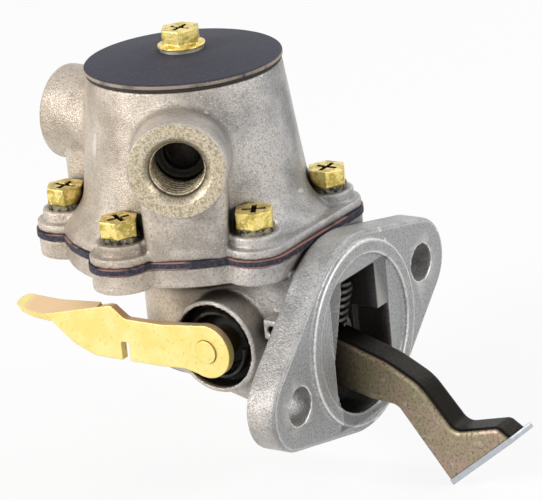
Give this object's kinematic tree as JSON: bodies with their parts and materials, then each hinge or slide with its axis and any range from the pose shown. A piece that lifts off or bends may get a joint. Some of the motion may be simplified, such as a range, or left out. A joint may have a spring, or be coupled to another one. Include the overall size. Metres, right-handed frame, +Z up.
{
  "type": "fuel lift pump",
  "caption": "Diaphragm fuel lift pump with a domed cover, two threaded ports, an oval mounting flange, a cam-driven rocker arm and a side hand priming lever.",
  "frame": {"origin": "centre of the mounting face, midway between the two flange bolt holes", "axes": "+X out of the mounting face towards the engine, +Z up the pump axis towards the cover, the priming lever on the -Y side"},
  "size_m": [0.1232, 0.0754, 0.0996],
  "materials": {
    "cast_aluminium": "rough sand-cast",
    "dark_paint": "semi-gloss, slightly textured",
    "gasket_fibre": "matt",
    "seal_aluminium": "satin",
    "yellow_zinc": "yellow passivated zinc",
    "dark_steel": "dark phosphated",
    "zinc_steel": "zinc plated",
    "bright_steel": "ground",
    "spring_steel": "oiled spring wire",
    "rocker_steel": "olive brown, heat treated",
    "pad_steel": "ground, hardened",
    "brass": "satin",
    "valve_rubber": "matt",
    "black_rubber": "matt",
    "diaphragm_cloth": "rubberised cloth, cut edge"
  },
  "bodies": {
    "housing": {"upper_housing": "cast_aluminium", "lower_housing": "cast_aluminium", "cover_gasket": "gasket_fibre", "top_cover": "dark_paint", "cap_screw_seal": "seal_aluminium", "cap_screw": "yellow_zinc", "joint_screws": "yellow_zinc", "spring_washers": "dark_steel", "outlet_valve_seat": "brass", "outlet_valve_cage": "brass", "outlet_valve_spring": "spring_steel", "inlet_valve_seat": "brass", "inlet_valve_cage": "brass", "inlet_valve_spring": "spring_steel", "strainer": "brass", "diaphragm": "diaphragm_cloth", "seal_retainer": "zinc_steel", "rod_seal": "black_rubber", "diaphragm_spring": "spring_steel", "pivot_pin": "bright_steel", "near_pin_spacer": "bright_steel", "far_pin_spacer": "bright_steel", "rocker_return_spring": "spring_steel", "primer_return_spring": "spring_steel", "primer_shaft_seal": "black_rubber"},
    "rocker": {"rocker_arm": "rocker_steel", "contact_pad": "pad_steel"},
    "link": {"link_lever": "rocker_steel"},
    "diaphragm_rod": {"diaphragm_upper_plate": "zinc_steel", "diaphragm_lower_plate": "zinc_steel", "pull_rod": "bright_steel", "rod_nut": "zinc_steel"},
    "primer": {"primer_shaft": "yellow_zinc", "primer_lever": "yellow_zinc"},
    "outlet_disc": {"outlet_valve_disc": "valve_rubber"},
    "inlet_disc": {"inlet_valve_disc": "valve_rubber"}
  },
  "joints": [
    {"name": "rocker_swing", "type": "hinge", "parent": "housing", "child": "rocker", "pos_m": [-0.0138, 0, -0.0036], "axis": [0, -1, 0], "range_deg": [0, 9], "deforming": ["rocker_return_spring"]},
    {"name": "link_swing", "type": "hinge", "parent": "housing", "child": "link", "pos_m": [-0.0138, 0, -0.0036], "axis": [0, -1, 0], "range_deg": [0, 9]},
    {"name": "diaphragm_stroke", "type": "slide", "parent": "housing", "child": "diaphragm_rod", "axis": [0, 0, -1], "range_m": [0, 0.0044], "stiffness_N_per_m": 20, "springref_m": -0.0125, "deforming": ["diaphragm_spring", "diaphragm"]},
    {"name": "primer_swing", "type": "hinge", "parent": "housing", "child": "primer", "pos_m": [-0.0256, 0, 0.0011], "axis": [0, -1, 0], "range_deg": [0, 30], "stiffness_Nm_per_rad": 0.1, "springref_deg": -20.05, "deforming": ["primer_return_spring"]},
    {"name": "outlet_valve_lift", "type": "slide", "parent": "housing", "child": "outlet_disc", "axis": [0, 0, 1], "range_m": [0, 0.0012], "stiffness_N_per_m": 30, "springref_m": -0.003, "deforming": ["outlet_valve_spring"]},
    {"name": "inlet_valve_lift", "type": "slide", "parent": "housing", "child": "inlet_disc", "axis": [0, 0, -1], "range_m": [0, 0.0012], "stiffness_N_per_m": 30, "springref_m": -0.003, "deforming": ["inlet_valve_spring"]}
  ],
  "couplings": [
    {"joint": "rocker_swing", "follows": "diaphragm_stroke", "rad_per_m": 35.714},
    {"joint": "link_swing", "follows": "diaphragm_stroke", "rad_per_m": 35.714}
  ]
}
